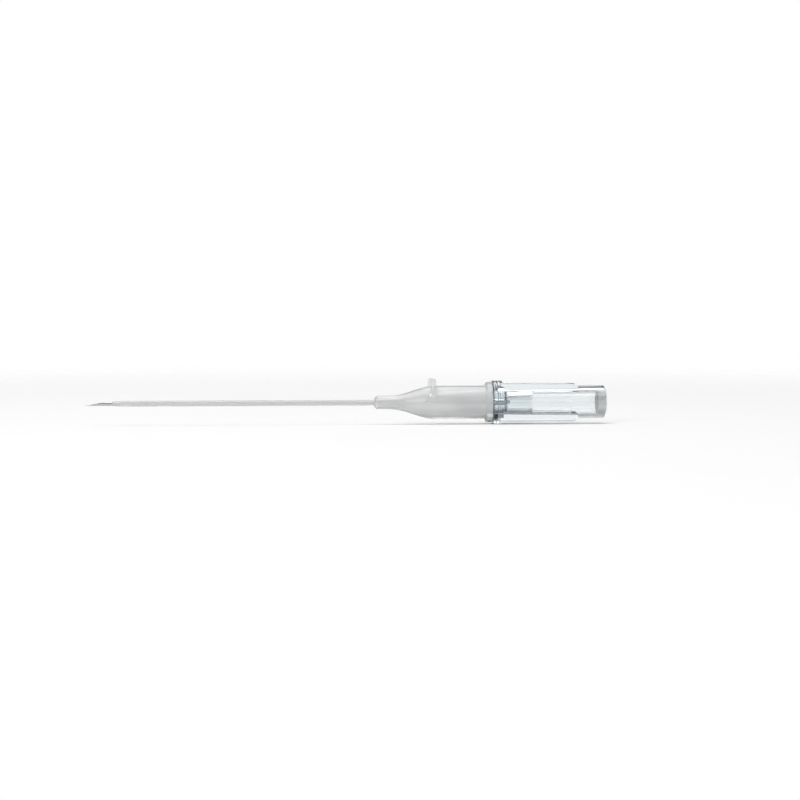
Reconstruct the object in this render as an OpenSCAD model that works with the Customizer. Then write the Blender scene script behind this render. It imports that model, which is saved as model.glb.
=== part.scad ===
// Over-the-needle intravenous cannula with its flash chamber, lying with the bevel and the tab up.
// The axis of the needle is X. The tube leaves the nose of its hub at the origin and points to -X.

/* [Needle] */
// Outside diameter of the needle
needle_od = 0.78; // [0.7:0.01:0.9]
// Wall of the needle
needle_wall = 0.12; // [0.08:0.01:0.16]
// Angle between the needle's axis and its long bevel, in degrees
bevel_angle = 10; // [9.5:0.5:13]
// Angle between the needle's axis and the two short facets at the point, in degrees
lancet_angle = 14; // [13.5:0.5:17]
// How far the two short facets are rolled to each side, in degrees
lancet_roll = 30; // [24:1:36]
// Length of round needle between the heel of the bevel and the tip of the tube
heel_out = 1.1; // [0.8:0.1:3]
// How far the rear end of the needle stands into the flash chamber's hollow
needle_rear_out = 1.2; // [0.4:0.1:2]

/* [Catheter tube] */
// Length of tube that stands out of the hub
tube_len = 51; // [25:1:64]
// Wall of the tube
tube_wall = 0.13; // [0.11:0.01:0.16]
// Length of the outside taper at the tube's tip
tip_taper_len = 2.4; // [1.6:0.1:5]
// Thickness of the edge at the tube's tip
tip_edge = 0.04; // [0.02:0.01:0.08]
// Length of the narrowed bore at the tube's tip
tip_bore_len = 0.8; // [0.4:0.1:1.5]

/* [Catheter hub] */
// Length of the hub, from the face of its nose to the mouth of its socket
hub_len = 23; // [22:0.5:26]
// Outside diameter of the hub's body
hub_od = 6.46; // [6.3:0.02:6.7]
// Wall of the hub where its hollow follows its outside
hub_wall = 1.05; // [0.9:0.05:1.2]
// Length of the drafted nose in front of the shoulder
nose_len = 3.3; // [3:0.1:4]
// Diameter of the nose where the shoulder starts
nose_od = 2.74; // [2.6:0.02:3.1]
// Diameter of the flat face of the nose
nose_face_d = 1.45; // [1.4:0.05:1.7]
// Length of the cone behind the face of the nose
nose_cone_len = 0.5; // [0.4:0.05:0.9]
// Length of the shoulder that swells from the nose to the body
shoulder_len = 8.7; // [7.5:0.1:9.5]

/* [Luer socket] */
// Diameter of the socket at its mouth
luer_mouth_d = 4.3; // [4.27:0.01:4.36]
// Taper of the socket, in percent of diameter to length
luer_taper = 6; // [5.8:0.1:6.2]
// Depth of the tapered stretch
luer_depth = 8.5; // [7.5:0.1:9]
// Height of the step at the bottom of the tapered stretch
luer_step = 0.15; // [0.1:0.05:0.3]
// Diameter of the rim between the lock lugs
rim_d = 6.9; // [6.8:0.05:7.1]
// Length of the rim and of the lugs
rim_len = 1.3; // [1:0.05:1.6]
// Diameter over the two lock lugs
lug_d = 7.8; // [7.5:0.05:7.83]
// Width of each lug
lug_w = 5.4; // [4.5:0.1:6]
// How far the front face of a lug leans back
lug_slope = 0.3; // [0.1:0.05:0.4]

/* [Push-off tab] */
// Height of the tab above the hub's body
tab_h = 1.42; // [1:0.02:1.8]
// Width of the flat top of the tab
tab_top_w = 3.4; // [2.8:0.1:4]
// Width of the tab level with the hub's axis, where its feet stand a little proud of the hub's sides
tab_foot_w = 6.9; // [6.6:0.05:7.1]
// Thickness of the tab's upright plate
tab_t = 0.98; // [0.8:0.02:1.1]
// Thickness of the tab's buttressed foot at its lower end
tab_foot_t = 2.05; // [1.6:0.05:2.3]
// How far the lower end of the foot lies below the axis
tab_foot_drop = 0.5; // [0.3:0.05:0.8]
// Radius of the edges along the top of the tab
tab_edge_r = 0.28; // [0.15:0.01:0.35]
// Radius of the top corners, seen along the axis
tab_corner_r = 0.45; // [0.3:0.05:0.6]
// Height above the axis at which the front face turns down into the buttress
tab_turn_h = 2.5; // [2:0.1:3]
// How far the rear face leans back from its foot to the plate
tab_lean = 0.4; // [0.2:0.01:0.5]
// How far the tab's rear face lies in front of the end of the shoulder
tab_back = 0.08; // [0:0.02:0.4]

/* [Catheter wedge] */
// Thickness of the steel sheet
wedge_wall = 0.1; // [0.08:0.01:0.12]
// Place of the wedge's front edge behind the face of the nose
wedge_x = 0.8; // [0.7:0.05:1.2]
// Length of the straight barrel inside the tube
wedge_barrel = 3.4; // [3:0.1:3.8]
// Length of the flare that clamps the tube
flare_len = 1.2; // [1:0.05:1.4]
// Growth in radius along the flare
flare_rise = 0.3; // [0.25:0.01:0.34]
// Length of the rim behind the flare
wedge_rim = 0.6; // [0.4:0.05:0.9]

/* [Needle hub] */
// Length of the male cone in front of the flange
male_len = 7; // [6:0.1:7.6]
// Diameter of the flange
flange_d = 8.4; // [8.1:0.05:8.8]
// Thickness of the flange
flange_t = 0.8; // [0.6:0.05:1]
// Diameter of the spigot that the flash chamber is pressed on
spigot_d = 4.6; // [4.4:0.05:4.8]
// Length of the spigot behind the flange
spigot_len = 7; // [6:0.1:8]
// Wall of the spigot round its hollow
spigot_wall = 0.7; // [0.5:0.05:0.9]
// Thickness of the web at the front of that hollow
web_t = 1.5; // [1:0.1:2.5]
// Diameter of the adhesive well at the front of the cone
well_d = 2.2; // [1.8:0.1:2.6]
// Depth of the adhesive well
well_depth = 2.2; // [1.5:0.1:3]

/* [Flash chamber] */
// Length of the chamber with its collar
chamber_len = 21.4; // [20:0.2:24]
// Outside diameter of the chamber
chamber_od = 6.44; // [6.2:0.02:6.6]
// Diameter of the collar
collar_d = 8.44; // [8.1:0.02:8.8]
// Thickness of the collar
collar_t = 1.15; // [0.9:0.05:1.4]
// Growth in the cavity's radius from the spigot to the vent plug
cavity_draft = 0.15; // [0.05:0.01:0.2]

/* [Grip plates] */
// Distance from the outside of one grip plate to the outside of the other
grip_span = 7.46; // [7.3:0.02:7.8]
// Length of the plates behind the collar
grip_len = 14.9; // [12:0.1:16]
// Width of each plate
grip_w = 5.6; // [5:0.1:6]
// Thickness of each plate at the collar
grip_t = 1.42; // [1.1:0.02:1.5]
// How much thinner each plate is at its rear end
grip_thin = 0.2; // [0:0.01:0.35]
// Radius of the rear corners, seen from above
grip_corner_r = 1.3; // [0.8:0.1:2]
// Radius of the long outer edges
grip_edge_r = 0.3; // [0.15:0.05:0.45]
// Length over which the outside of a plate slopes down at its rear end
grip_nose_len = 1.1; // [0.8:0.05:1.5]
// How far it slopes down there
grip_nose_drop = 0.45; // [0.3:0.01:0.55]

/* [Vent plug] */
// Length of the plug
plug_len = 1.7; // [1.4:0.05:2.4]
// How far the plug stands out behind the chamber
plug_out = 0.25; // [0.1:0.05:0.4]
// Height of the shoulder that stops the plug
plug_step = 0.12; // [0.08:0.01:0.16]
// Diameter of the vent hole
vent_d = 1.6; // [1:0.1:2]
// Diameter of the porous filter disc
filter_d = 3; // [2.4:0.1:3.4]
// Thickness of the filter disc
filter_t = 1; // [0.6:0.05:1.1]

/* [Fits] */
// Gap all round between the needle and the tube
needle_gap = 0.03; // [0.02:0.005:0.04]
// Gap all round between the needle and the narrowed bore at the tube's tip
tip_gap = 0.012; // [0.01:0.001:0.018]
// Gap all round between the needle and the steel wedge
wedge_gap = 0.03; // [0.02:0.005:0.05]
// Gap between the male cone and the socket
luer_gap = 0.01; // [0.008:0.001:0.02]
// Gap between the mouth of the socket and the flange
face_gap = 0.1; // [0.05:0.01:0.2]
// Gap between pieces that are pressed or bonded together
seat_gap = 0.01; // [0.005:0.001:0.015]

/* [Hidden] */
turn_fn = 96;
arc_steps = 6;
arch_steps = 8;
shoulder_steps = 20;
// How far a cutting shape runs past the face that it cuts
over = 0.5;
// Rounding of small moulded edges
edge_r = 0.12;
fine_edge_r = 0.05;

// Radii that fit round each other, from the needle outwards
needle_r = needle_od / 2;
needle_bore_r = needle_r - needle_wall;
tube_bore_r = needle_r + needle_gap;
tube_r = tube_bore_r + tube_wall;
tip_bore_r = needle_r + tip_gap;
wedge_bore_r = needle_r + wedge_gap;
wedge_r = wedge_bore_r + wedge_wall;
// The tube is stretched over the wedge, so its wall is thinner there
stretched_wall = tube_wall * tube_bore_r / wedge_r;
stretched_bore_r = wedge_r + seat_gap;
stretched_r = stretched_bore_r + stretched_wall;
hub_tube_bore_r = tube_r + seat_gap;
hub_seat_r = stretched_r + seat_gap;
hub_cup_r = hub_seat_r + flare_rise;
wedge_rim_r = hub_cup_r - seat_gap;

// Stations along the axis
tip_step_len = 0.4;
flare_x = wedge_x + wedge_barrel;
cup_x = flare_x + flare_len;
wedge_rim_x = cup_x + (wedge_rim_r - wedge_r - flare_rise);
wedge_rear_x = wedge_rim_x + wedge_rim;
tube_tip_x = -tube_len;
bevel_len = needle_od / tan(bevel_angle);
point_x = tube_tip_x - heel_out - bevel_len;
rim_x = hub_len - rim_len;
socket_x = hub_len - luer_depth;
flange_x = hub_len + face_gap;
male_x = flange_x - male_len;
collar_x = flange_x + flange_t + seat_gap;
spigot_end_x = flange_x + flange_t + spigot_len;
web_x = flange_x + flange_t + web_t;
needle_rear_x = web_x + needle_rear_out;
chamber_end_x = collar_x + chamber_len;
plug_x = chamber_end_x + plug_out - plug_len;
grip_x = collar_x + collar_t;

// Radii of the bigger pieces
hub_r = hub_od / 2;
nose_r = nose_od / 2;
nose_draft = 1;
nose_tip_r = nose_r - (nose_len - nose_cone_len) * tan(nose_draft);
socket_end_r = luer_r(socket_x) - luer_step;
spigot_r = spigot_d / 2;
chamber_r = chamber_od / 2;
chamber_bore_r = spigot_r + seat_gap;
cavity_end_r = chamber_bore_r + cavity_draft;
plug_seat_r = cavity_end_r + plug_step;
bond_r = needle_r + seat_gap;
well_r = well_d / 2;

// Radius of the tapered socket at a place along the axis
function luer_r(x) = luer_mouth_d / 2 - (hub_len - x) * luer_taper / 200;

// The shoulder swells along half a cosine wave
function swell(t) = (1 - cos(180 * t)) / 2;
function shoulder_r(t) = nose_r + (hub_r - nose_r) * swell(t);
function shoulder_x(t) = nose_len + shoulder_len * t;

// The hollow follows the shoulder from the wedge's cup to the bottom of the socket
function hollow_r(t) = min(max(shoulder_r(t) - hub_wall, hub_cup_r), socket_end_r);

function plain(p) = [p[0], p[1]];
function unit(v) = v / norm(v);
function round_of(p) = len(p) > 2 ? p[2] : 0;

// One corner c between its neighbours a and b, rounded by an arc of the radius given as its third number
function corner(a, c, b) =
    let (
        p = plain(c),
        r = round_of(c),
        u = unit(plain(a) - p),
        v = unit(plain(b) - p),
        half = acos(u * v) / 2,
        middle = p + unit(u + v) * r / sin(half),
        from = unit(p + u * r / tan(half) - middle),
        to = unit(p + v * r / tan(half) - middle),
        sweep = 180 - 2 * half
    )
    [for (i = [0:arc_steps])
        middle + r * (from * sin(sweep * (1 - i / arc_steps)) + to * sin(sweep * i / arc_steps)) / sin(sweep)];

// An outline from its corner points, each with an optional radius
function outline(points) =
    let (n = len(points))
    [for (i = [0:n - 1])
        each round_of(points[i]) == 0
            ? [plain(points[i])]
            : corner(points[(i + n - 1) % n], points[i], points[(i + 1) % n])];

// A solid of revolution about the X axis, from points of radius and place along the axis
module turned(points) {
    rotate([0, 90, 0])
        rotate_extrude($fn = turn_fn)
            polygon(outline(points));
}

// A plate between y = -w/2 and y = w/2, from points of x and z
module side_plate(points, w) {
    translate([0, w / 2, 0])
        rotate([90, 0, 0])
            linear_extrude(height = w)
                polygon(outline(points));
}

// A bar along X from x0 to x1, from points of y and z
module end_bar(points, x0, x1) {
    translate([x0, 0, 0])
        rotate([90, 0, 90])
            linear_extrude(height = x1 - x0)
                polygon(outline(points));
}

// Half-space above a plane that rises from the needle's point, rolled about the needle's axis
module grind(angle, roll) {
    reach = bevel_len * 3;
    translate([point_x, 0, -needle_r])
        rotate([roll, 0, 0])
            rotate([0, -angle, 0])
                translate([-reach / 2, -reach / 2, 0])
                    cube([reach * 2, reach, reach]);
}

module needle() {
    color("silver")
        difference() {
            turned([
                [needle_bore_r, point_x - over],
                [needle_r, point_x - over],
                [needle_r, needle_rear_x, fine_edge_r / 2],
                [needle_bore_r, needle_rear_x]
            ]);
            grind(bevel_angle, 0);
            for (side = [-1, 1])
                grind(lancet_angle, side * lancet_roll);
        }
}

// The tube is straight up to the nose, then widens onto the wedge's barrel and flares on its cone
module catheter_tube() {
    // The tube stops just short of the wedge's rim
    flared = 0.95;
    end_x = flare_x + flare_len * flared;
    end_rise = flare_rise * flared;
    color("ivory")
        turned([
            [tip_bore_r, tube_tip_x],
            [tip_bore_r + tip_edge, tube_tip_x, tip_edge / 3],
            [tube_r, tube_tip_x + tip_taper_len],
            [tube_r, 0],
            [stretched_r, wedge_x],
            [stretched_r, flare_x],
            [stretched_r + end_rise, end_x],
            [stretched_bore_r + end_rise, end_x],
            [stretched_bore_r, flare_x],
            [stretched_bore_r, wedge_x - seat_gap],
            [tube_bore_r, 0],
            [tube_bore_r, tube_tip_x + tip_bore_len + tip_step_len],
            [tip_bore_r, tube_tip_x + tip_bore_len]
        ]);
}

// A drawn steel funnel that holds the tube in the hub
module catheter_wedge() {
    color("lightsteelblue")
        turned([
            [wedge_bore_r, wedge_x],
            [wedge_r, wedge_x],
            [wedge_r, flare_x],
            [wedge_r + flare_rise, cup_x],
            [wedge_rim_r, wedge_rim_x],
            [wedge_rim_r, wedge_rear_x],
            [wedge_rim_r - wedge_wall, wedge_rear_x],
            [wedge_rim_r - wedge_wall, wedge_rim_x + wedge_wall / 2],
            [wedge_bore_r + flare_rise, cup_x],
            [wedge_bore_r, flare_x]
        ]);
}

module hub_outside() {
    turned([
        [0, 0],
        [nose_face_d / 2, 0, fine_edge_r],
        [nose_tip_r, nose_cone_len, edge_r],
        for (i = [0:shoulder_steps])
            let (t = i / shoulder_steps)
                [shoulder_r(t), shoulder_x(t)],
        [hub_r, rim_x],
        [rim_d / 2, rim_x, edge_r],
        [rim_d / 2, hub_len, edge_r],
        [0, hub_len]
    ]);
}

// The way through the hub: tube bore, wedge seat and cup, funnel, and tapered socket
module hub_hollow() {
    funnel_steps = [for (i = [0:shoulder_steps])
        let (t = i / shoulder_steps)
            if (shoulder_x(t) > wedge_rear_x && shoulder_x(t) < socket_x)
                [hollow_r(t), shoulder_x(t)]];
    turned([
        [0, -over],
        [hub_tube_bore_r, -over],
        [hub_tube_bore_r, 0],
        [hub_seat_r, wedge_x],
        [hub_seat_r, flare_x],
        [hub_cup_r, cup_x],
        [hub_cup_r, wedge_rear_x],
        each funnel_steps,
        [socket_end_r, socket_x],
        [luer_r(socket_x), socket_x],
        [luer_r(hub_len - edge_r), hub_len - edge_r],
        [luer_r(hub_len) + edge_r, hub_len],
        [luer_r(hub_len) + edge_r, hub_len + over],
        [0, hub_len + over]
    ]);
}

// Two lock lugs, above and below, cut from one flanged ring
module lock_lugs() {
    intersection() {
        turned([
            [0, rim_x],
            [hub_r, rim_x],
            [lug_d / 2, rim_x + lug_slope, edge_r],
            [lug_d / 2, hub_len, edge_r],
            [0, hub_len]
        ]);
        translate([rim_x - over, -lug_w / 2, -lug_d])
            cube([rim_len + 2 * over, lug_w, 2 * lug_d]);
    }
}

// The tab that a finger pushes. Seen along the axis it is an arch that stands on the sides of the hub,
// and seen from the side it is an upright plate whose front face slopes down into a buttress
module push_off_tab() {
    top_z = hub_r + tab_h;
    side_w = tab_foot_w / 2;
    // The arch is part of an ellipse that is cut off flat at the top
    arch_h = top_z / sqrt(1 - pow(tab_top_w / tab_foot_w, 2));
    arch_end = asin(top_z / arch_h);
    arch = [for (i = [0:arch_steps - 1])
        let (a = arch_end * i / arch_steps)
            [side_w * cos(a), arch_h * sin(a)]];
    rear_x = nose_len + shoulder_len - tab_back;
    front_x = rear_x - tab_t;
    foot_rear_x = rear_x - tab_lean;
    foot_front_x = foot_rear_x - tab_foot_t;
    // Below the axis the sides run inwards, so that the feet end inside the hub's wall
    foot_depth = 0.3;
    foot_end_w = shoulder_r((foot_front_x - nose_len) / shoulder_len) - foot_depth;
    right_side = [
        [foot_end_w, -tab_foot_drop],
        each arch,
        [tab_top_w / 2, top_z, tab_corner_r]
    ];
    // Radius of the bend where the plate turns into the buttress
    turn_r = 2;
    intersection() {
        end_bar(
            [
                each right_side,
                each [for (i = [len(right_side) - 1:-1:0])
                    let (p = right_side[i])
                        [-p[0], p[1], round_of(p)]]
            ],
            foot_front_x - over,
            rear_x + over
        );
        side_plate(
            [
                [foot_rear_x, -tab_foot_drop],
                [rear_x, tab_turn_h, turn_r],
                [rear_x, top_z, tab_edge_r],
                [front_x, top_z, tab_edge_r],
                [front_x, tab_turn_h, turn_r],
                [foot_front_x, -tab_foot_drop]
            ],
            tab_foot_w + 2 * over
        );
    }
}

module catheter_hub() {
    color("whitesmoke")
        difference() {
            union() {
                hub_outside();
                lock_lugs();
                push_off_tab();
            }
            hub_hollow();
        }
}

// Male cone, flange and spigot in one moulding, with the needle's bore through it
module needle_hub() {
    core_r = spigot_r - spigot_wall;
    color("gainsboro")
        turned([
            [well_r, male_x],
            [luer_r(male_x) - luer_gap, male_x, edge_r],
            [luer_r(flange_x) - luer_gap, flange_x],
            [flange_d / 2, flange_x, edge_r],
            [flange_d / 2, flange_x + flange_t, edge_r],
            [spigot_r, flange_x + flange_t],
            [spigot_r, spigot_end_x, edge_r],
            [core_r + cavity_draft, spigot_end_x, fine_edge_r],
            [core_r, web_x, core_r / 2],
            [bond_r, web_x],
            [bond_r, male_x + well_depth]
        ]);
}

// Cured adhesive that nearly fills the well and climbs the needle in a small meniscus
module needle_bond() {
    slack = seat_gap / 2;
    inner_r = needle_r + slack;
    fill_len = well_depth * 0.9;
    rear_x = male_x + well_depth - slack;
    front_x = rear_x + slack - fill_len;
    front_r = bond_r + (well_r - bond_r) * fill_len / well_depth - slack;
    climb = 0.35;
    foot = 0.3;
    color("lightyellow")
        turned([
            [inner_r, front_x - climb],
            [inner_r + foot / 4, front_x - climb / 3],
            [inner_r + foot, front_x],
            [front_r, front_x],
            [inner_r + slack, rear_x],
            [inner_r, rear_x]
        ]);
}

// One grip plate above the chamber, from its side view, its plan and its section
module grip_plate() {
    top_z = grip_span / 2;
    end_x = grip_x + grip_len;
    // The plate starts inside the collar
    start_x = grip_x - collar_t / 2;
    nose_r = 0.8;
    lip_r = 0.2;
    intersection() {
        side_plate(
            [
                [start_x, top_z - grip_t],
                [start_x, top_z],
                [end_x - grip_nose_len, top_z, nose_r],
                [end_x, top_z - grip_nose_drop, lip_r],
                [end_x, top_z - grip_t + grip_thin]
            ],
            grip_w
        );
        linear_extrude(height = top_z + over)
            polygon(outline([
                [start_x, -grip_w / 2],
                [end_x, -grip_w / 2, grip_corner_r],
                [end_x, grip_w / 2, grip_corner_r],
                [start_x, grip_w / 2]
            ]));
        end_bar(
            [
                [-grip_w / 2, 0],
                [-grip_w / 2, top_z, grip_edge_r],
                [grip_w / 2, top_z, grip_edge_r],
                [grip_w / 2, 0]
            ],
            start_x - over,
            end_x + over
        );
    }
}

module chamber_outside() {
    rear_edge_r = 0.35;
    turned([
        [0, collar_x],
        [collar_d / 2, collar_x, edge_r],
        [collar_d / 2, grip_x, edge_r],
        [chamber_r, grip_x],
        [chamber_r, chamber_end_x, rear_edge_r],
        [0, chamber_end_x]
    ]);
}

module chamber_cavity() {
    turned([
        [0, collar_x - over],
        [chamber_bore_r, collar_x - over],
        [chamber_bore_r, spigot_end_x],
        [cavity_end_r, plug_x - seat_gap],
        [plug_seat_r, plug_x - seat_gap],
        [plug_seat_r, chamber_end_x - fine_edge_r],
        [plug_seat_r + fine_edge_r, chamber_end_x],
        [plug_seat_r + fine_edge_r, chamber_end_x + over],
        [0, chamber_end_x + over]
    ]);
}

module flash_chamber() {
    color("aliceblue")
        difference() {
            union() {
                chamber_outside();
                grip_plate();
                mirror([0, 0, 1])
                    grip_plate();
            }
            chamber_cavity();
        }
}

// A moulded ring with a stepped bore: the filter sits in the front, the vent hole leads out behind
module vent_plug() {
    plug_r = plug_seat_r - seat_gap;
    // The part that stands out of the chamber is domed
    dome_r = plug_out * 0.9;
    color("white")
        turned([
            [filter_d / 2 + seat_gap, plug_x],
            [plug_r, plug_x, fine_edge_r],
            [plug_r, plug_x + plug_len, dome_r],
            [vent_d / 2, plug_x + plug_len, fine_edge_r],
            [vent_d / 2, plug_x + filter_t + seat_gap],
            [filter_d / 2 + seat_gap, plug_x + filter_t + seat_gap]
        ]);
}

module vent_filter() {
    color("snow")
        turned([
            [0, plug_x],
            [filter_d / 2, plug_x, fine_edge_r],
            [filter_d / 2, plug_x + filter_t],
            [0, plug_x + filter_t]
        ]);
}

catheter_tube();
catheter_wedge();
catheter_hub();
needle();
needle_hub();
needle_bond();
flash_chamber();
vent_plug();
vent_filter();
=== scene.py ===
import math

import bmesh
import bpy
from mathutils import Matrix, Vector


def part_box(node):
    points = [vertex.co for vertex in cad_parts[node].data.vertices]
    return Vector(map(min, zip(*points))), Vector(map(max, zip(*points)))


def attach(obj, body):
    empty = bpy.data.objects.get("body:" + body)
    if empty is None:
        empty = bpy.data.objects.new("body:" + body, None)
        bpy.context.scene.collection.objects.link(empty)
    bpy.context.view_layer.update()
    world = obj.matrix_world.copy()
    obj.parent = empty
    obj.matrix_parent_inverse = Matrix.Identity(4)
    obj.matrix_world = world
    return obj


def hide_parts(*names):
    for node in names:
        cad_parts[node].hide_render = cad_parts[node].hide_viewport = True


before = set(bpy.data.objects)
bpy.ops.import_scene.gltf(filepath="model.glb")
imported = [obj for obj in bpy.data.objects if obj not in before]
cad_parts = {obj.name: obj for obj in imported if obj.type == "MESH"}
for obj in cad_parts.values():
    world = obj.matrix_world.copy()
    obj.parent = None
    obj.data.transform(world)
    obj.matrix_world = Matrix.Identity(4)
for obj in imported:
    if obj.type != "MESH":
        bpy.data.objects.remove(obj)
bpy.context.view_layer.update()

# One millimetre in scene units. Sizes below are in millimetres and degrees unless they say otherwise
MM = 0.001


def corners_of(node):
    """The CAD node's lowest and highest corner at rest, in millimetres."""
    return [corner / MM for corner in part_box(node)]


# Places and radii that the CAD model gives
hub_low, hub_high = corners_of("catheter_hub")
tube_low, tube_high = corners_of("catheter_tube")
wedge_low, wedge_high = corners_of("catheter_wedge")
needle_low, needle_high = corners_of("needle")
male_low, male_high = corners_of("needle_hub")
bond_low, bond_high = corners_of("needle_bond")
chamber_low, chamber_high = corners_of("flash_chamber")
plug_low, plug_high = corners_of("vent_plug")
filter_low, filter_high = corners_of("vent_filter")

# Needle
needle_r = needle_high.y
needle_wall = 0.12
needle_bore_r = needle_r - needle_wall
bevel_angle = 10
lancet_angle = 14
lancet_roll = 30

# Tube and the wedge that holds it
slide_gap = 0.03
tip_gap = 0.012
seat_gap = 0.01
tube_wall = 0.13
tube_bore_r = needle_r + slide_gap
tube_r = tube_bore_r + tube_wall
tip_bore_r = needle_r + tip_gap
tip_edge = 0.04
tip_bore_len = 0.8
tip_step_len = 0.4
tip_taper_len = 2.4
tip_blend_r = 1.5
wedge_bore_r = needle_r + slide_gap
wedge_wall = 0.1
wedge_r = wedge_bore_r + wedge_wall
wedge_barrel_len = 3.4
wedge_rim_len = 0.6
wedge_bend_r = 0.4
flare_len = 1.2
flare_rise = 0.3
flare_x = wedge_low.x + wedge_barrel_len
cup_x = flare_x + flare_len
# The tube covers this share of the wedge's flare
tube_flare_share = 0.95
stretched_bore_r = wedge_r + seat_gap
stretched_r = tube_high.y - flare_rise * tube_flare_share
hub_tube_bore_r = tube_r + seat_gap
hub_seat_r = stretched_r + seat_gap
hub_cup_r = hub_seat_r + flare_rise

# Catheter hub
hub_len = hub_high.x
hub_r = 3.23
hub_wall = 1.05
nose_len = 3.3
nose_r = 1.37
nose_face_r = 0.725
nose_cone_len = 0.5
nose_draft = 1
nose_tip_r = nose_r - (nose_len - nose_cone_len) * math.tan(math.radians(nose_draft))
shoulder_len = 8.7
luer_mouth_r = 2.15
luer_taper = 0.06
luer_depth = 8.5
luer_step = 0.15
rim_r = hub_high.y
rim_len = 1.3
rim_x = hub_len - rim_len
lug_r = -hub_low.z
lug_w = 5.4
lug_slope = 0.3
edge_r = 0.12
fine_edge_r = 0.05

# Push-off tab
tab_top_z = hub_high.z
tab_top_w = 3.4
tab_foot_w = 6.9
tab_t = 0.98
tab_foot_t = 2.05
tab_foot_drop = 0.5
tab_foot_depth = 0.3
tab_edge_r = 0.28
tab_corner_r = 0.45
tab_turn_h = 2.5
tab_turn_r = 2
tab_lean = 0.4
tab_back = 0.08
tab_rear_x = nose_len + shoulder_len - tab_back

# Needle hub
luer_gap = 0.01
flange_r = male_high.y
flange_gap = 0.1
flange_x = hub_len + flange_gap
flange_t = 0.8
spigot_r = 2.3
spigot_wall = 0.7
core_r = spigot_r - spigot_wall
web_t = 1.5
web_x = flange_x + flange_t + web_t
well_r = 1.1
well_depth = 2.2
needle_seat_r = needle_r + seat_gap
cavity_draft = 0.15

# Flash chamber and its grip plates
collar_x = chamber_low.x
collar_r = chamber_high.y
collar_t = 1.15
grip_x = collar_x + collar_t
chamber_r = 3.22
chamber_bore_r = spigot_r + seat_gap
cavity_end_r = chamber_bore_r + cavity_draft
plug_r = plug_high.y
plug_seat_r = plug_r + seat_gap
chamber_edge_r = 0.35
grip_top_z = 3.73
grip_root = 0.5
grip_len = 14.9
grip_w = 5.6
grip_t = 1.42
grip_thin = 0.2
grip_corner_r = 1.3
grip_edge_r = 0.3
grip_nose_len = 1.1
grip_nose_drop = 0.45
grip_nose_r = 0.8
grip_lip_r = 0.2

# Vent plug
plug_out = 0.25
vent_r = 0.8
filter_r = filter_high.y

# Steps round a large, a middling and a small turned form
TURN_STEPS = 160
PLUG_TURN_STEPS = 128
SMALL_TURN_STEPS = 96
# Steps along a rounded corner, along the shoulder and along the tab's arch
ARC_STEPS = 8
SHOULDER_STEPS = 40
ARCH_STEPS = 24
# Rings this close to each edge keep the shading of flat faces flat. Sides up to SHORT_SIDE need none
SUPPORT = 0.03
SHORT_SIDE = SUPPORT * 6
# Corners closer than this are one
MERGE = 0.0002
# How far a cutting form reaches past what it cuts
OVER = 0.5


def luer_r(x):
    """Radius of the tapered socket at a place along the axis."""
    return luer_mouth_r - (hub_len - x) * luer_taper / 2


def shoulder(t):
    """Radius and place of a point on the shoulder, which swells along half a cosine wave."""
    swell = (1 - math.cos(math.pi * t)) / 2
    return nose_r + (hub_r - nose_r) * swell, nose_len + shoulder_len * t


def shoulder_points():
    """Radius and place all along the shoulder."""
    return [shoulder(i / SHOULDER_STEPS) for i in range(SHOULDER_STEPS + 1)]


# Outlines and solids

def rounded_corner(before, here, after, radius):
    """The arc that rounds the corner at here, between its two neighbours."""
    to_before = (before - here).normalized()
    to_after = (after - here).normalized()
    half = to_before.angle(to_after) / 2
    centre = here + (to_before + to_after).normalized() * radius / math.sin(half)
    start = here + to_before * radius / math.tan(half) - centre
    end = here + to_after * radius / math.tan(half) - centre
    sweep = math.pi - 2 * half

    def spoke(share):
        return (start * math.sin(sweep * (1 - share)) + end * math.sin(sweep * share)) / math.sin(sweep)

    return [centre + spoke(i / ARC_STEPS) for i in range(ARC_STEPS + 1)]


def rectangle(low_x, high_x, width):
    """The corner points of a rectangle that lies evenly on both sides of the X axis."""
    return [(low_x, -width / 2), (high_x, -width / 2), (high_x, width / 2), (low_x, width / 2)]


def outline(points):
    """A closed outline from its corner points, each with an optional radius."""
    plain = [Vector(p[:2]) for p in points]
    made = []
    for i, p in enumerate(points):
        if len(p) > 2 and p[2] > 0:
            made += rounded_corner(plain[i - 1], plain[i], plain[(i + 1) % len(plain)], p[2])
        else:
            made.append(plain[i])
    return made


def supported(points):
    """The same outline with a point close to both ends of each longer side that is off the axis."""
    made = []
    for i, p in enumerate(points):
        q = points[(i + 1) % len(points)]
        made.append(p)
        if (q - p).length > SHORT_SIDE and max(p.x, q.x) > 0:
            step = (q - p).normalized() * SUPPORT
            made += [p + step, q - step]
    return made


def object_from(name, mesh_maker):
    """An object in the scene whose mesh mesh_maker fills."""
    mesh = bpy.data.meshes.new(name)
    bm = bmesh.new()
    mesh_maker(bm)
    bmesh.ops.recalc_face_normals(bm, faces=bm.faces)
    bm.to_mesh(mesh)
    bm.free()
    obj = bpy.data.objects.new(name, mesh)
    bpy.context.scene.collection.objects.link(obj)
    return obj


def turned(name, points, steps=TURN_STEPS):
    """A solid of revolution about the X axis, from corner points of radius, place and optional rounding."""
    profile = supported(outline(points))

    def fill(bm):
        rings = []
        for radius, x in profile:
            if radius < 1e-6:
                rings.append([bm.verts.new((x, 0, 0))] * steps)
                continue
            turns = [2 * math.pi * (i + 0.5) / steps for i in range(steps)]
            rings.append([bm.verts.new((x, radius * math.cos(a), radius * math.sin(a))) for a in turns])
        for ring, following in zip(rings, rings[1:] + rings[:1]):
            for i in range(steps):
                j = (i + 1) % steps
                around = dict.fromkeys([ring[i], ring[j], following[j], following[i]])
                if len(around) > 2:
                    bm.faces.new(around)

    return object_from(name, fill)


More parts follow.
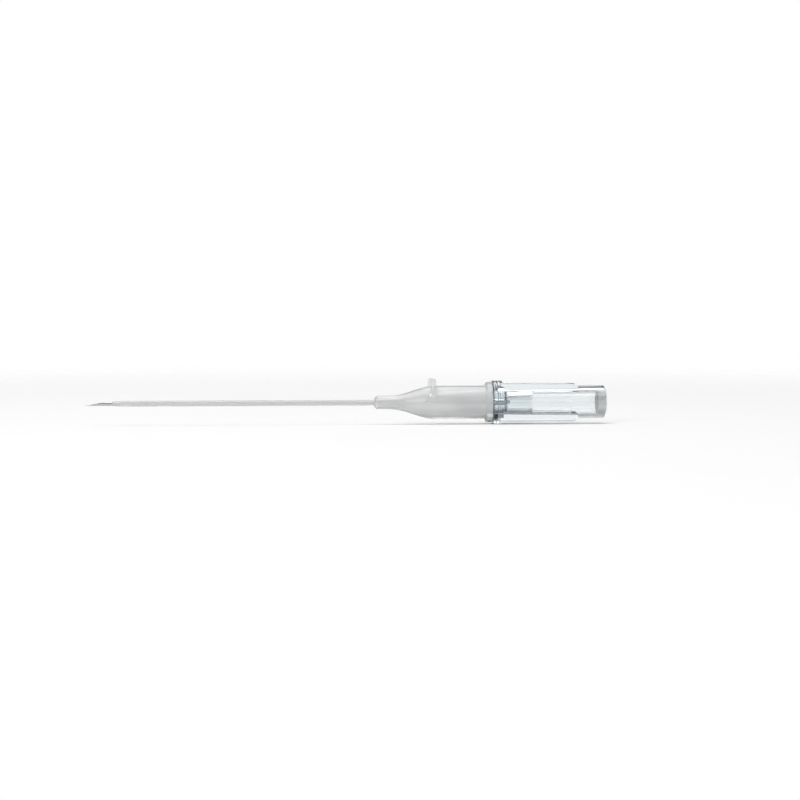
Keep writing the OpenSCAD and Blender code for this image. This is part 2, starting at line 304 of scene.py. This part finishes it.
def prism(name, points, place, start, end):
    """A straight solid from start to end, where place(point, height) gives the place of an outline point."""
    profile = outline(points)

    def fill(bm):
        near = [bm.verts.new(place(p, start)) for p in profile]
        far = [bm.verts.new(place(p, end)) for p in profile]
        bm.faces.new(near)
        bm.faces.new(far)
        for i in range(len(profile)):
            j = (i + 1) % len(profile)
            bm.faces.new([near[i], near[j], far[j], far[i]])

    return object_from(name, fill)


def side_plate(name, points, width):
    """A plate as wide as width, from points of x and z."""
    return prism(name, points, lambda p, h: (p.x, h, p.y), -width / 2, width / 2)


def end_bar(name, points, start, end):
    """A bar along X, from points of y and z."""
    return prism(name, points, lambda p, h: (h, p.x, p.y), start, end)


def plan_block(name, points, low, high):
    """An upright block, from points of x and y."""
    return prism(name, points, lambda p, h: (p.x, p.y, h), low, high)


def settle(obj):
    """Applies the object's modifiers to its mesh."""
    bpy.context.view_layer.update()
    evaluated = obj.evaluated_get(bpy.context.evaluated_depsgraph_get())
    mesh = bpy.data.meshes.new_from_object(evaluated)
    obj.modifiers.clear()
    obj.data = mesh


def combined(obj, operation, *others):
    """The union, difference or intersection of obj with each of the others, which are then gone."""
    for other in others:
        modifier = obj.modifiers.new("combine", "BOOLEAN")
        modifier.operation = operation
        modifier.solver = "EXACT"
        modifier.object = other
        settle(obj)
        bpy.data.objects.remove(other)
    return obj


def clean(obj):
    """Merges the corners that booleans leave almost in one place, where faces lie in one plane."""
    bm = bmesh.new()
    bm.from_mesh(obj.data)
    bmesh.ops.remove_doubles(bm, verts=bm.verts, dist=MERGE)
    bmesh.ops.dissolve_degenerate(bm, edges=bm.edges, dist=MERGE)
    loose = [corner for corner in bm.verts if not corner.link_faces]
    bmesh.ops.delete(bm, geom=loose, context="VERTS")
    bm.to_mesh(obj.data)
    bm.free()


# Node helpers

class Finish:
    """A material with its shader at hand and a few ways to drive it. Texture places are in millimetres."""

    def __init__(self, name, **values):
        self.material = bpy.data.materials.new(name)
        self.material.use_nodes = True
        self.tree = self.material.node_tree
        self.shader = self.tree.nodes["Principled BSDF"]
        for socket, value in values.items():
            self.shader.inputs[socket.replace("_", " ")].default_value = value
        self.bump_before = None

    def node(self, kind, settings=(), **inputs):
        made = self.tree.nodes.new(kind)
        for key, value in dict(settings).items():
            setattr(made, key, value)
        for socket, value in inputs.items():
            self.feed(made.inputs[socket.replace("_", " ")], value)
        return made

    def feed(self, socket, value):
        if isinstance(value, bpy.types.NodeSocket):
            self.tree.links.new(value, socket)
        else:
            socket.default_value = value

    def place(self, stretch=(1, 1, 1)):
        """The place on the object in millimetres, stretched along its axes."""
        coordinates = self.node("ShaderNodeTexCoord").outputs["Object"]
        scale = [s / MM for s in stretch]
        return self.node("ShaderNodeMapping", Vector=coordinates, Scale=scale).outputs["Vector"]

    def noise(self, size, stretch=(1, 1, 1), detail=3):
        """Noise with features of about the given size."""
        place = self.place(stretch)
        return self.node("ShaderNodeTexNoise", Vector=place, Scale=1 / size, Detail=detail).outputs["Fac"]

    def cells(self, size):
        """Distance from the middle of the nearest grain of the given size."""
        return self.node("ShaderNodeTexVoronoi", Vector=self.place(), Scale=1 / size).outputs["Distance"]

    def ranged(self, value, low, high, start=0.3, end=0.7):
        """Spreads start to end of a texture's value over low to high."""
        spread = self.node(
            "ShaderNodeMapRange", Value=value, From_Min=start, From_Max=end, To_Min=low, To_Max=high
        )
        return spread.outputs["Result"]

    def colours(self, value, first, second):
        """A colour between the two, by value."""
        mixed = self.node("ShaderNodeMix", {"data_type": "RGBA"})
        self.feed(mixed.inputs["Factor"], value)
        # Sockets of one name are told apart by number: these are the ones for colours
        self.feed(mixed.inputs[6], (*first, 1))
        self.feed(mixed.inputs[7], (*second, 1))
        return mixed.outputs[2]

    def base(self, value, first, second):
        """The surface's own colour, between the two, by value."""
        self.feed(self.shader.inputs["Base Color"], self.colours(value, first, second))

    def roughness(self, value, low, high, start=0.3, end=0.7):
        """The surface's roughness, from low to high, by start to end of value."""
        self.feed(self.shader.inputs["Roughness"], self.ranged(value, low, high, start, end))

    def bump(self, height, depth):
        """Raises the surface by height times depth, which is in millimetres. Bumps add up."""
        made = self.node("ShaderNodeBump", Height=height, Distance=depth * MM, Strength=1.0)
        if self.bump_before is not None:
            self.feed(made.inputs["Normal"], self.bump_before)
        self.bump_before = made.outputs["Normal"]
        self.feed(self.shader.inputs["Normal"], self.bump_before)

    def parting_line(self, width, depth):
        """The fine raised line that a two-part mould leaves along both sides, level with the axis."""
        place = self.node("ShaderNodeSeparateXYZ", Vector=self.place())
        height = self.node("ShaderNodeMath", {"operation": "ABSOLUTE"})
        self.feed(height.inputs[0], place.outputs["Z"])
        ridge = self.ranged(height.outputs[0], low=1, high=0, start=0, end=width / 2)
        self.bump(ridge, depth)

    def tint(self, colour, density):
        """Light is absorbed on its way through, so thick places are darker. Density is per metre."""
        inside = self.node("ShaderNodeVolumeAbsorption", Color=(*colour, 1), Density=density)
        self.tree.links.new(inside.outputs[0], self.tree.nodes["Material Output"].inputs["Volume"])


def clear_plastic(name, colour, ior, density):
    """Clear moulded plastic: glossy, with the faint waves and flow marks of the mould."""
    finish = Finish(name, Transmission_Weight=1.0, IOR=ior)
    flow = finish.noise(size=4, stretch=(0.35, 1, 1))
    finish.base(flow, colour, [c * 0.985 for c in colour])
    finish.roughness(finish.noise(size=1.5), low=0.02, high=0.06)
    finish.bump(flow, depth=0.012)
    finish.parting_line(width=0.12, depth=0.012)
    finish.tint(colour=(0.74, 0.82, 0.86), density=density)
    return finish.material


def natural_plastic(name):
    """Uncoloured polypropylene: milky, with a soft sheen and a slight clouding."""
    finish = Finish(name, Transmission_Weight=0.58, IOR=1.49)
    cloud = finish.noise(size=2.5, stretch=(0.4, 1, 1))
    finish.base(cloud, (0.95, 0.96, 0.965), (0.97, 0.975, 0.975))
    finish.roughness(cloud, low=0.17, high=0.22)
    return finish.material


def milky_tube(name):
    """Extruded fluoropolymer: translucent, waxy, with faint lines along the draw."""
    finish = Finish(name, Transmission_Weight=0.45, IOR=1.36)
    draw = finish.noise(size=0.3, stretch=(0.02, 1, 1))
    finish.base(draw, (0.94, 0.945, 0.94), (0.965, 0.965, 0.96))
    finish.roughness(draw, low=0.1, high=0.16)
    finish.tint(colour=(0.8, 0.82, 0.83), density=1500)
    return finish.material


def drawn_steel(name, colour, low, high):
    """Stainless steel tube or cup with the fine lines of drawing along it, as rough as low to high."""
    finish = Finish(name, Metallic=1.0)
    lines = finish.noise(size=0.06, stretch=(0.01, 1, 1), detail=4)
    finish.base(lines, colour, [c * 0.9 for c in colour])
    finish.roughness(lines, low, high)
    finish.bump(lines, depth=0.0006)
    return finish.material


def ground_steel(name, colour):
    """The ground facets of the point: fine scratches across the needle."""
    finish = Finish(name, Metallic=1.0)
    lines = finish.noise(size=0.03, stretch=(1, 0.05, 0.2), detail=4)
    finish.base(lines, colour, [c * 0.86 for c in colour])
    finish.roughness(lines, low=0.2, high=0.38)
    finish.bump(lines, depth=0.0012)
    return finish.material


def cured_adhesive(name):
    """Clear adhesive with small bubbles and an uneven skin."""
    finish = Finish(name, Transmission_Weight=0.85, IOR=1.5)
    bubbles = finish.ranged(finish.cells(size=0.16), low=0, high=1, start=0.12, end=0.3)
    finish.base(bubbles, (0.97, 0.95, 0.86), (0.92, 0.89, 0.76))
    finish.roughness(bubbles, low=0.2, high=0.06, start=0, end=1)
    finish.bump(finish.noise(size=0.3), depth=0.02)
    return finish.material


def satin_plastic(name):
    """White plug plastic with the fine even grain of an eroded mould."""
    finish = Finish(
        name,
        IOR=1.5,
        Subsurface_Weight=0.25,
        Subsurface_Radius=(1.0, 0.95, 0.9),
        Subsurface_Scale=0.4 * MM,
    )
    grain = finish.noise(size=0.08, detail=2)
    finish.base(grain, (0.91, 0.915, 0.91), (0.95, 0.95, 0.945))
    finish.roughness(grain, low=0.36, high=0.5)
    finish.bump(grain, depth=0.003)
    return finish.material


def porous_polymer(name):
    """Sintered filter disc: white grains, with painted shade in the pores between them."""
    finish = Finish(name, IOR=1.45)
    grains = finish.cells(size=0.14)
    # The pores between the grains get a darker colour, which is painted shade in these hollows
    pore_shade = finish.ranged(grains, low=0, high=1, start=0.35, end=0.75)
    finish.base(pore_shade, (0.93, 0.93, 0.91), (0.6, 0.6, 0.58))
    finish.roughness(pore_shade, low=0.7, high=0.95, start=0, end=1)
    finish.bump(finish.ranged(grains, low=1, high=0, start=0, end=0.8), depth=0.03)
    return finish.material


# Pieces

def finished(obj, node, body, slot, *materials, sharp=22):
    """Makes a mesh in millimetres the piece for a CAD node. Edges beyond the angle sharp stay sharp."""
    clean(obj)
    obj.data.transform(Matrix.Scale(MM, 4))
    for material in materials:
        obj.data.materials.append(material)
    obj.data.polygons.foreach_set("use_smooth", [True] * len(obj.data.polygons))
    obj.data.set_sharp_from_angle(angle=math.radians(sharp))
    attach(obj, body)
    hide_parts(node)
    return obj


def grind(angle, roll):
    """The block that one grind takes off the needle's point: tilted by angle and rolled round the needle."""
    bevel_len = 2 * needle_r / math.tan(math.radians(bevel_angle))
    reach = bevel_len * 3
    block = plan_block("grind", rectangle(-reach / 2, reach * 3 / 2, reach), 0, reach)
    turn = Matrix.Rotation(math.radians(roll), 4, "X") @ Matrix.Rotation(math.radians(-angle), 4, "Y")
    block.data.transform(Matrix.Translation((needle_low.x, 0, -needle_r)) @ turn)
    return block


def is_ground(face):
    """Whether a face of the needle is part of a grind: at the point, looking up and not along the radius."""
    radial = Vector((0, face.center.y, face.center.z)).normalized()
    return face.center.x < 0 and abs(face.normal.dot(radial)) < 0.999 and face.normal.z > 0.5


def needle():
    obj = turned(
        "steel_needle",
        [
            (needle_bore_r, needle_low.x - OVER),
            (needle_r, needle_low.x - OVER),
            (needle_r, needle_high.x, fine_edge_r / 2),
            (needle_bore_r, needle_high.x),
        ],
        steps=SMALL_TURN_STEPS,
    )
    grinds = [grind(bevel_angle, 0), grind(lancet_angle, lancet_roll), grind(lancet_angle, -lancet_roll)]
    combined(obj, "DIFFERENCE", *grinds)
    for face in obj.data.polygons:
        face.material_index = 1 if is_ground(face) else 0
    steel = (0.54, 0.55, 0.56)
    return finished(
        obj, "needle", "needle_unit", "needle_steel",
        drawn_steel("needle_steel", steel, low=0.14, high=0.26), ground_steel("needle_ground", steel),
        sharp=4,
    )


def catheter_tube():
    """The tube, tapered to a thin edge at its tip, stretched over the wedge and flared at its end."""
    flared_r = tube_high.y
    rise = flared_r - stretched_r
    obj = turned(
        "soft_tube",
        [
            (tip_bore_r, tube_low.x),
            (tip_bore_r + tip_edge, tube_low.x, tip_edge / 3),
            (tube_r, tube_low.x + tip_taper_len, tip_blend_r),
            (tube_r, 0),
            (stretched_r, wedge_low.x),
            (stretched_r, flare_x),
            (flared_r, tube_high.x),
            (stretched_bore_r + rise, tube_high.x),
            (stretched_bore_r, flare_x),
            (stretched_bore_r, wedge_low.x - seat_gap),
            (tube_bore_r, 0),
            (tube_bore_r, tube_low.x + tip_bore_len + tip_step_len),
            (tip_bore_r, tube_low.x + tip_bore_len),
        ],
        steps=SMALL_TURN_STEPS,
    )
    return finished(obj, "catheter_tube", "catheter", "tube_polymer", milky_tube("tube_polymer"))


def catheter_wedge():
    """A funnel of steel sheet: barrel, flare and rim."""
    rim = wedge_high.y
    bend_x = wedge_high.x - wedge_rim_len
    obj = turned(
        "steel_wedge",
        [
            (wedge_bore_r, wedge_low.x),
            (wedge_r, wedge_low.x),
            (wedge_r, flare_x, wedge_bend_r),
            (wedge_r + flare_rise, cup_x),
            (rim, bend_x),
            (rim, wedge_high.x),
            (rim - wedge_wall, wedge_high.x),
            (rim - wedge_wall, bend_x + wedge_wall / 2),
            (wedge_bore_r + flare_rise, cup_x),
            (wedge_bore_r, flare_x, wedge_bend_r),
        ],
        steps=SMALL_TURN_STEPS,
    )
    return finished(
        obj, "catheter_wedge", "catheter", "wedge_steel",
        drawn_steel("wedge_steel", (0.5, 0.51, 0.52), low=0.22, high=0.36),
    )


def hub_outside():
    return turned(
        "catheter_hub_body",
        [
            (0, 0),
            (nose_face_r, 0, fine_edge_r),
            (nose_tip_r, nose_cone_len, edge_r),
            *shoulder_points(),
            (hub_r, rim_x),
            (rim_r, rim_x, edge_r),
            (rim_r, hub_len, edge_r),
            (0, hub_len),
        ],
    )


def hub_hollow():
    """From the nose: the tube's seat, the cup over the wedge's flare, a funnel and the Luer socket."""
    socket_x = hub_len - luer_depth
    socket_end_r = luer_r(socket_x) - luer_step
    funnel = [
        (min(max(radius - hub_wall, hub_cup_r), socket_end_r), x)
        for radius, x in shoulder_points()
        if wedge_high.x < x < socket_x
    ]
    return turned(
        "hub_hollow",
        [
            (0, -OVER),
            (hub_tube_bore_r, -OVER),
            (hub_tube_bore_r, 0),
            (hub_seat_r, wedge_low.x),
            (hub_seat_r, flare_x),
            (hub_cup_r, cup_x),
            (hub_cup_r, wedge_high.x),
            *funnel,
            (socket_end_r, socket_x),
            (luer_r(socket_x), socket_x),
            (luer_r(hub_len - edge_r), hub_len - edge_r),
            (luer_r(hub_len) + edge_r, hub_len),
            (luer_r(hub_len) + edge_r, hub_len + OVER),
            (0, hub_len + OVER),
        ],
    )


def lock_lugs():
    """The two lugs with their roots, which reach some way into the hub's wall."""
    root_r = hub_r - hub_wall / 2
    root_x = rim_x - lug_slope * (hub_r - root_r) / (lug_r - hub_r)
    lugs = turned(
        "lock_lugs",
        [
            (root_r, root_x),
            (lug_r, rim_x + lug_slope, edge_r),
            (lug_r, hub_len, edge_r),
            (root_r, hub_len),
        ],
    )
    cut = plan_block("lug_cut", rectangle(rim_x - OVER, hub_len + OVER, lug_w), -2 * lug_r, 2 * lug_r)
    return combined(lugs, "INTERSECT", cut)


def push_off_tab():
    """A leaning plate cut to an arch, thicker at its feet."""
    side_w = tab_foot_w / 2
    arch_h = tab_top_z / math.sqrt(1 - (tab_top_w / tab_foot_w) ** 2)
    arch_end = math.asin(tab_top_z / arch_h)
    # The last steps of the arch make way for the rounding of the top corner
    arch = [
        (side_w * math.cos(arch_end * i / ARCH_STEPS), arch_h * math.sin(arch_end * i / ARCH_STEPS))
        for i in range(ARCH_STEPS - 2)
    ]
    front_x = tab_rear_x - tab_t
    foot_rear_x = tab_rear_x - tab_lean
    foot_front_x = foot_rear_x - tab_foot_t
    # Below the axis the sides run inwards, so that the feet end inside the hub's wall
    foot_end_w = shoulder((foot_front_x - nose_len) / shoulder_len)[0] - tab_foot_depth
    right_side = [(foot_end_w, -tab_foot_drop), *arch, (tab_top_w / 2, tab_top_z, tab_corner_r)]
    left_side = [(-p[0], *p[1:]) for p in reversed(right_side)]
    arch_bar = end_bar("arch_bar", right_side + left_side, foot_front_x - OVER, tab_rear_x + OVER)
    plate = side_plate(
        "push_off_tab",
        [
            (foot_rear_x, -tab_foot_drop),
            (tab_rear_x, tab_turn_h, tab_turn_r),
            (tab_rear_x, tab_top_z, tab_edge_r),
            (front_x, tab_top_z, tab_edge_r),
            (front_x, tab_turn_h, tab_turn_r),
            (foot_front_x, -tab_foot_drop),
        ],
        tab_foot_w + 2 * OVER,
    )
    return combined(plate, "INTERSECT", arch_bar)


def catheter_hub():
    obj = combined(hub_outside(), "UNION", push_off_tab())
    combined(obj, "DIFFERENCE", hub_hollow())
    combined(obj, "UNION", lock_lugs())
    return finished(obj, "catheter_hub", "catheter", "hub_plastic", natural_plastic("hub_plastic"))


def needle_hub():
    """Male cone with the adhesive's well, flange, and the hollow spigot that carries the flash chamber."""
    obj = turned(
        "needle_hub_moulding",
        [
            (well_r, male_low.x),
            (luer_r(male_low.x) - luer_gap, male_low.x, edge_r),
            (luer_r(flange_x) - luer_gap, flange_x),
            (flange_r, flange_x, edge_r),
            (flange_r, flange_x + flange_t, edge_r),
            (spigot_r, flange_x + flange_t),
            (spigot_r, male_high.x, edge_r),
            (core_r + cavity_draft, male_high.x, fine_edge_r),
            (core_r, web_x, core_r / 2),
            (needle_seat_r, web_x),
            (needle_seat_r, male_low.x + well_depth),
        ],
    )
    return finished(
        obj, "needle_hub", "needle_unit", "needle_hub_plastic",
        clear_plastic("needle_hub_plastic", (0.96, 0.975, 0.98), ior=1.58, density=180),
    )


def needle_bond():
    """Adhesive that fills the well and climbs a little way up the needle in front of it."""
    slack = seat_gap / 2
    inner_r = needle_r + slack
    climb = 0.35
    foot = 0.3
    foot_r = 0.2
    front_x = bond_low.x + climb
    obj = turned(
        "needle_adhesive",
        [
            (inner_r, bond_low.x),
            (inner_r + foot / 4, front_x - climb / 3),
            (inner_r + foot, front_x, foot_r),
            (bond_high.y, front_x),
            (inner_r + slack, bond_high.x),
            (inner_r, bond_high.x),
        ],
        steps=SMALL_TURN_STEPS,
    )
    return finished(obj, "needle_bond", "needle_unit", "adhesive", cured_adhesive("adhesive"))


def grip_plate(side):
    """One grip plate, above the chamber where side is 1 and below it where side is -1."""
    end_x = grip_x + grip_len
    start_x = grip_x - grip_root
    plate = side_plate(
        "grip_plate",
        [
            (start_x, grip_top_z - grip_t),
            (start_x, grip_top_z),
            (end_x - grip_nose_len, grip_top_z, grip_nose_r),
            (end_x, grip_top_z - grip_nose_drop, grip_lip_r),
            (end_x, grip_top_z - grip_t + grip_thin),
        ],
        grip_w,
    )
    plan = plan_block(
        "grip_plan",
        [
            (start_x - OVER, -grip_w / 2),
            (end_x, -grip_w / 2, grip_corner_r),
            (end_x, grip_w / 2, grip_corner_r),
            (start_x - OVER, grip_w / 2),
        ],
        0,
        grip_top_z + OVER,
    )
    section = end_bar(
        "grip_section",
        [
            (-grip_w / 2, 0),
            (-grip_w / 2, grip_top_z, grip_edge_r),
            (grip_w / 2, grip_top_z, grip_edge_r),
            (grip_w / 2, 0),
        ],
        start_x - OVER,
        end_x + OVER,
    )
    combined(plate, "INTERSECT", plan, section)
    if side < 0:
        plate.data.transform(Matrix.Scale(-1, 4, (0, 0, 1)))
        plate.data.flip_normals()
    return plate


def flash_chamber():
    body = turned(
        "flash_chamber_body",
        [
            (0, collar_x),
            (collar_r, collar_x, edge_r),
            (collar_r, grip_x, edge_r),
            (chamber_r, grip_x),
            (chamber_r, chamber_high.x, chamber_edge_r),
            (0, chamber_high.x),
        ],
    )
    cavity = turned(
        "chamber_cavity",
        [
            (0, collar_x - OVER),
            (chamber_bore_r, collar_x - OVER),
            (chamber_bore_r, male_high.x),
            (cavity_end_r, plug_low.x - seat_gap),
            (plug_seat_r, plug_low.x - seat_gap),
            (plug_seat_r, chamber_high.x - fine_edge_r),
            (plug_seat_r + fine_edge_r, chamber_high.x),
            (plug_seat_r + fine_edge_r, chamber_high.x + OVER),
            (0, chamber_high.x + OVER),
        ],
    )
    combined(body, "UNION", grip_plate(1), grip_plate(-1))
    combined(body, "DIFFERENCE", cavity)
    return finished(
        body, "flash_chamber", "needle_unit", "chamber_plastic",
        clear_plastic("chamber_plastic", (0.96, 0.975, 0.98), ior=1.56, density=70),
    )


def vent_plug():
    """The plug with its vent hole, and the wider bore for the filter in front of it."""
    dome_r = plug_out * 0.9
    step_x = filter_high.x + seat_gap
    obj = turned(
        "vent_plug_moulding",
        [
            (filter_r + seat_gap, plug_low.x),
            (plug_r, plug_low.x, fine_edge_r),
            (plug_r, plug_high.x, dome_r),
            (vent_r, plug_high.x, fine_edge_r),
            (vent_r, step_x),
            (filter_r + seat_gap, step_x),
        ],
        steps=PLUG_TURN_STEPS,
    )
    return finished(obj, "vent_plug", "needle_unit", "plug_plastic", satin_plastic("plug_plastic"))


def vent_filter():
    obj = turned(
        "vent_filter_disc",
        [
            (0, filter_low.x),
            (filter_r, filter_low.x, fine_edge_r),
            (filter_r, filter_high.x, fine_edge_r),
            (0, filter_high.x),
        ],
        steps=SMALL_TURN_STEPS,
    )
    return finished(obj, "vent_filter", "needle_unit", "filter_polymer", porous_polymer("filter_polymer"))


# Surroundings

def background_rays(tree):
    """1 for rays that show the surroundings, also reflected or through clear plastic, and 0 for others."""
    path = tree.nodes.new("ShaderNodeLightPath")
    shown = path.outputs["Is Camera Ray"]
    for kind in ["Is Glossy Ray", "Is Transmission Ray"]:
        either = tree.nodes.new("ShaderNodeMath")
        either.operation = "MAXIMUM"
        tree.links.new(shown, either.inputs[0])
        tree.links.new(path.outputs[kind], either.inputs[1])
        shown = either.outputs[0]
    return shown


def studio_world():
    """White round the object at eye level and below, darker overhead, so that clear edges show."""
    ambient_strength = 0.58
    world = bpy.data.worlds.new("studio")
    bpy.context.scene.world = world
    world.use_nodes = True
    tree = world.node_tree
    tree.nodes.clear()
    direction = tree.nodes.new("ShaderNodeTexCoord").outputs["Generated"]
    height = tree.nodes.new("ShaderNodeSeparateXYZ")
    tree.links.new(direction, height.inputs[0])
    ramp = tree.nodes.new("ShaderNodeValToRGB")
    ramp.color_ramp.interpolation = "EASE"
    white = (1, 1, 1, 1)
    dark = (0.05, 0.055, 0.06, 1)
    # Places on the ramp run from 0 at eye level to 1 straight up
    stops = ramp.color_ramp.elements
    stops[0].position = 0.07
    stops[0].color = white
    stops[1].position = 0.9
    stops[1].color = white
    for position in [0.36, 0.6]:
        stops.new(position).color = dark
    tree.links.new(height.outputs["Z"], ramp.inputs[0])
    seen = tree.nodes.new("ShaderNodeBackground")
    tree.links.new(ramp.outputs["Color"], seen.inputs["Color"])
    lighting = tree.nodes.new("ShaderNodeBackground")
    lighting.inputs["Strength"].default_value = ambient_strength
    mix = tree.nodes.new("ShaderNodeMixShader")
    tree.links.new(background_rays(tree), mix.inputs[0])
    tree.links.new(lighting.outputs[0], mix.inputs[1])
    tree.links.new(seen.outputs[0], mix.inputs[2])
    output = tree.nodes.new("ShaderNodeOutputWorld")
    tree.links.new(mix.outputs[0], output.inputs["Surface"])


def studio_floor():
    """A pale floor under the collar. It fades into the white surroundings at its edge."""
    radius = 450
    fade_start = 120
    fade_end = radius * 0.9
    # The floor's own glow, which keeps it pale for the rays that show it
    lift_strength = 0.08
    steps = 96

    def fill(bm):
        rim = [2 * math.pi * i / steps for i in range(steps)]
        corners = [(radius * math.cos(a), radius * math.sin(a), chamber_low.z) for a in rim]
        bm.faces.new([bm.verts.new(corner) for corner in corners])

    floor = object_from("studio_floor", fill)
    floor.data.transform(Matrix.Scale(MM, 4))
    finish = Finish("floor_paint", Roughness=1.0, Specular_IOR_Level=0.0)
    shade = finish.noise(size=30, detail=2)
    finish.base(shade, (0.93, 0.93, 0.93), (0.95, 0.95, 0.95))
    lift = finish.node("ShaderNodeMath", {"operation": "MULTIPLY"})
    finish.feed(lift.inputs[0], background_rays(finish.tree))
    finish.feed(lift.inputs[1], lift_strength)
    finish.feed(finish.shader.inputs["Emission Color"], (1, 1, 1, 1))
    finish.feed(finish.shader.inputs["Emission Strength"], lift.outputs[0])
    away = finish.node("ShaderNodeVectorMath", {"operation": "LENGTH"}, Vector=finish.place())
    fade = finish.ranged(away.outputs["Value"], low=0, high=1, start=fade_start, end=fade_end)
    fade.node.interpolation_type = "SMOOTHSTEP"
    see_through = finish.node("ShaderNodeBsdfTransparent")
    mix = finish.node("ShaderNodeMixShader")
    finish.feed(mix.inputs[0], fade)
    finish.feed(mix.inputs[1], finish.shader.outputs[0])
    finish.feed(mix.inputs[2], see_through.outputs[0])
    finish.tree.links.new(mix.outputs[0], finish.tree.nodes["Material Output"].inputs["Surface"])
    floor.data.materials.append(finish.material)


def softbox(name, place, size, watts, aim):
    """A rectangular lamp at place, which looks at aim. Places and sizes are in millimetres."""
    lamp = bpy.data.lights.new(name, "AREA")
    lamp.shape = "RECTANGLE"
    lamp.size = size[0] * MM
    lamp.size_y = size[1] * MM
    lamp.energy = watts
    obj = bpy.data.objects.new(name, lamp)
    bpy.context.scene.collection.objects.link(obj)
    obj.location = Vector(place) * MM
    obj.rotation_euler = (Vector(aim) - Vector(place)).to_track_quat("-Z", "Y").to_euler()


def studio_lamps():
    middle = ((needle_low.x + plug_high.x) / 2, 0, 0)
    softbox("overhead", place=(-60, 120, 620), size=(620, 420), watts=1.8, aim=middle)
    softbox("front", place=(-300, -520, 180), size=(300, 300), watts=0.9, aim=middle)
    softbox("strip", place=(40, -330, 430), size=(520, 40), watts=0.3, aim=middle)


def photograph_camera():
    """Level with the object, a little from its needle end, framed as the drawing is."""
    azimuth = math.radians(-7.5)
    elevation = math.radians(2)
    # The picture's width at the object
    frame_w = 155.7
    lens = 250
    # The place on the object that is in the middle of the picture
    aim = Vector((5.11, 0, 0.49))
    data = bpy.data.cameras.new("camera")
    data.lens = lens
    data.sensor_width = 36
    away = frame_w * lens / data.sensor_width
    back = Vector((
        math.sin(azimuth) * math.cos(elevation),
        -math.cos(azimuth) * math.cos(elevation),
        math.sin(elevation),
    ))
    camera = bpy.data.objects.new("camera", data)
    bpy.context.scene.collection.objects.link(camera)
    camera.location = (aim + back * away) * MM
    camera.rotation_euler = (-back).to_track_quat("-Z", "Y").to_euler()
    # In metres
    data.clip_start = 0.05
    data.clip_end = 20
    bpy.context.scene.camera = camera


catheter_tube()
catheter_wedge()
catheter_hub()
needle()
needle_hub()
needle_bond()
flash_chamber()
vent_plug()
vent_filter()
studio_world()
studio_floor()
studio_lamps()
photograph_camera()

scene = bpy.context.scene
scene.view_settings.view_transform = "Standard"
# Light crosses many walls of clear plastic
scene.cycles.max_bounces = 32
scene.cycles.transmission_bounces = 32
scene.cycles.glossy_bounces = 8
